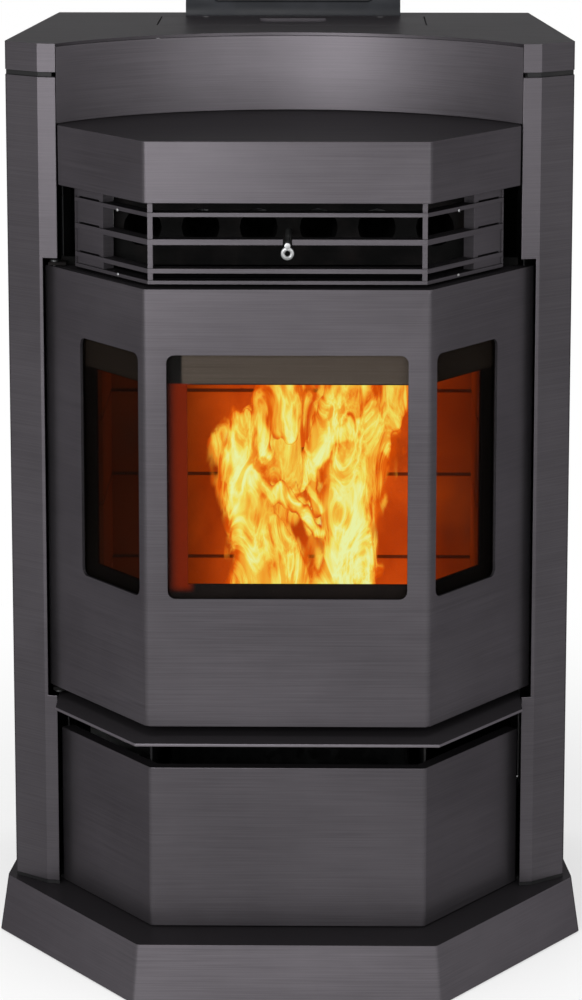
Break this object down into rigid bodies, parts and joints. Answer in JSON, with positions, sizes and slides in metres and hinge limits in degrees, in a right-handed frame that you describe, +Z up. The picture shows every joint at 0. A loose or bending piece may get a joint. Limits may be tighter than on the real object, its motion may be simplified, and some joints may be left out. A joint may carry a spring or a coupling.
{
  "type": "pellet stove",
  "caption": "Freestanding pellet stove with a three-faced glazed bay door, warm air grille, concave upper panel, top-filled hopper and sliding ash drawer.",
  "frame": {"origin": "centre of the bounding box's footprint, on the floor", "axes": "+X to the viewer's right when facing the stove, +Y from the front to the wall behind, +Z up"},
  "size_m": [0.61, 0.604, 0.99],
  "materials": {
    "charcoal_paint": "charcoal metallic coating with a fine level brushing",
    "black_sheet": "matt black paint",
    "steel": "plain sheet steel",
    "cast_iron": "dark heat-proof paint over iron",
    "firebrick": "matt fired brick with shallow joints",
    "gasket_fibre": "woven glass-fibre rope",
    "ceramic_glass": "clear heat-proof glass with a warm tint",
    "black_plastic": "matt black",
    "grey_plastic": "satin blue-grey",
    "aluminium": "pressed sheet"
  },
  "bodies": {
    "casing": {"side_panel_left": "charcoal_paint", "side_panel_right": "charcoal_paint", "plinth": "charcoal_paint", "top_plate": "charcoal_paint", "curved_panel": "charcoal_paint", "hood": "charcoal_paint", "air_grille": "charcoal_paint", "ledge": "charcoal_paint", "base_pan": "black_sheet", "rear_panel": "black_sheet", "top_spacer": "black_sheet", "chassis": "black_sheet", "igniter": "steel", "auger_tube": "steel", "auger_motor": "steel", "hopper": "steel", "door_hinge_pin_top": "steel", "door_hinge_pin_bottom": "steel", "door_catch": "steel", "lid_hinge_pin": "steel", "convection_housing": "steel", "convection_motor": "steel", "exhaust_housing": "steel", "exhaust_motor": "steel", "exhaust_duct": "steel", "exhaust_pipe": "steel", "intake_pipe": "steel", "firebox": "cast_iron", "baffle": "cast_iron", "heat_exchanger": "cast_iron", "burn_pot_holder": "cast_iron", "brick_back": "firebrick", "brick_left": "firebrick", "brick_right": "firebrick", "lid_seal": "gasket_fibre", "keypad": "black_plastic", "power_inlet": "black_plastic", "levelling_foot_1": "black_plastic", "levelling_foot_2": "black_plastic", "levelling_foot_3": "black_plastic", "levelling_foot_4": "black_plastic", "console_housing": "grey_plastic"},
    "door": {"fire_door": "charcoal_paint", "glass_centre": "ceramic_glass", "glass_left": "ceramic_glass", "glass_right": "ceramic_glass", "glass_retainer": "steel", "door_gasket": "gasket_fibre"},
    "drawer": {"ash_drawer_front": "charcoal_paint", "ash_pan": "steel"},
    "lid": {"hopper_lid": "charcoal_paint"},
    "scraper": {"scraper_rod": "steel"},
    "pot": {"burn_pot": "cast_iron"},
    "screw": {"auger": "steel"},
    "room_fan": {"convection_wheel": "aluminium"},
    "flue_fan": {"exhaust_wheel": "aluminium"},
    "key_1": {"button_1": "grey_plastic"},
    "key_2": {"button_2": "grey_plastic"},
    "key_3": {"button_3": "grey_plastic"},
    "key_4": {"button_4": "grey_plastic"}
  },
  "joints": [
    {"name": "fire_door_hinge", "type": "hinge", "parent": "casing", "child": "door", "pos_m": [-0.238, -0.1104, 0.494], "axis": [0, 0, -1], "range_deg": [0, 75]},
    {"name": "ash_drawer_slide", "type": "slide", "parent": "casing", "child": "drawer", "axis": [0, -1, 0], "range_m": [0, 0.28]},
    {"name": "hopper_lid_hinge", "type": "hinge", "parent": "casing", "child": "lid", "pos_m": [0, 0.189, 0.936], "axis": [-1, 0, 0], "range_deg": [0, 75]},
    {"name": "scraper_slide", "type": "slide", "parent": "casing", "child": "scraper", "axis": [0, -1, 0], "range_m": [0, 0.06]},
    {"name": "burn_pot_lift", "type": "slide", "parent": "casing", "child": "pot", "axis": [0, 0, 1], "range_m": [0, 0.08]},
    {"name": "auger_spin", "type": "hinge", "parent": "casing", "child": "screw", "pos_m": [0, 0.185, 0.3827], "axis": [0, -0.5, 0.866], "continuous": true},
    {"name": "convection_spin", "type": "hinge", "parent": "casing", "child": "room_fan", "pos_m": [0, 0.15, 0.15], "axis": [1, 0, 0], "continuous": true},
    {"name": "exhaust_spin", "type": "hinge", "parent": "casing", "child": "flue_fan", "pos_m": [-0.15, 0.143, 0.151], "axis": [1, 0, 0], "continuous": true},
    {"name": "button_1_press", "type": "slide", "parent": "casing", "child": "key_1", "axis": [0, 0.795, -0.6066], "range_m": [0, 0.0015], "stiffness_N_per_m": 200, "springref_m": -0.0005},
    {"name": "button_2_press", "type": "slide", "parent": "casing", "child": "key_2", "axis": [0, 0.795, -0.6066], "range_m": [0, 0.0015], "stiffness_N_per_m": 200, "springref_m": -0.0005},
    {"name": "button_3_press", "type": "slide", "parent": "casing", "child": "key_3", "axis": [0, 0.795, -0.6066], "range_m": [0, 0.0015], "stiffness_N_per_m": 200, "springref_m": -0.0005},
    {"name": "button_4_press", "type": "slide", "parent": "casing", "child": "key_4", "axis": [0, 0.795, -0.6066], "range_m": [0, 0.0015], "stiffness_N_per_m": 200, "springref_m": -0.0005}
  ]
}
